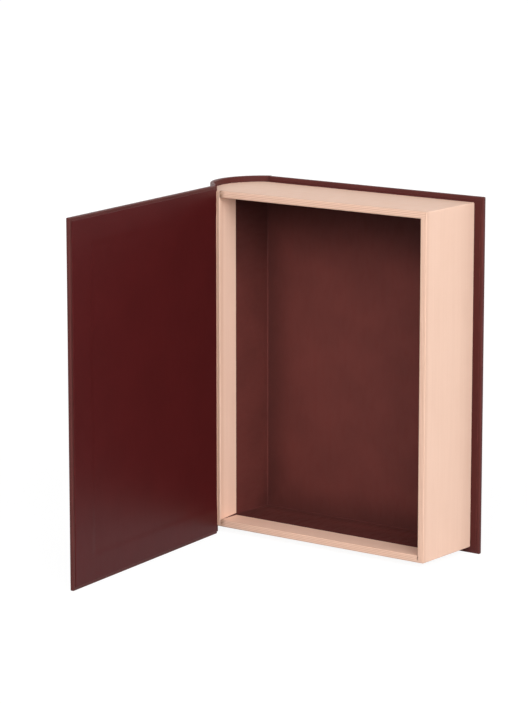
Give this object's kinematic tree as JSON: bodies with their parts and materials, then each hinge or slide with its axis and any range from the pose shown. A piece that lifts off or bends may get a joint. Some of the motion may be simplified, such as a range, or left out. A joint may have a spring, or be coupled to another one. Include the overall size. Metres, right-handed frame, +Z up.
{
  "type": "book box",
  "caption": "Book-shaped storage box: a paper-lined card tray glued into a case with a round spine; the front cover swings open on a cloth joint.",
  "frame": {"origin": "middle of the back cover's tail edge, where the book stands on its shelf", "axes": "+Z up from tail to head, +X from the spine to the fore-edge, +Y out through the back cover; the tray opens towards -Y"},
  "size_m": [0.22, 0.2686, 0.27],
  "materials": {
    "card": "matte",
    "page_paper": "matte",
    "lining_paper": "matte",
    "cover_paper": "satin",
    "endpaper": "satin",
    "hinge_cloth": "satin"
  },
  "bodies": {
    "box": {"head_wall": "card", "tail_wall": "card", "fore_edge_wall": "card", "spine_side_wall": "card", "tray_floor": "card", "head_page_paper": "page_paper", "tail_page_paper": "page_paper", "fore_edge_page_paper": "page_paper", "spine_side_page_paper": "page_paper", "head_lining": "lining_paper", "tail_lining": "lining_paper", "fore_edge_lining": "lining_paper", "spine_side_lining": "lining_paper", "floor_lining": "lining_paper", "back_board": "card", "back_cover_paper": "cover_paper", "back_endpaper": "endpaper", "spine_board": "card", "spine_cover_paper": "cover_paper", "spine_lining": "lining_paper", "back_hinge_cloth": "hinge_cloth"},
    "front_cover": {"front_board": "card", "front_cover_paper": "cover_paper", "front_endpaper": "endpaper", "front_hinge_cloth": "hinge_cloth"}
  },
  "joints": [
    {"name": "cover_hinge", "type": "hinge", "parent": "box", "child": "front_cover", "pos_m": [-0.10065, -0.0676, 0.135], "axis": [0, 0, -1], "range_deg": [-83.5, 96.5]}
  ]
}
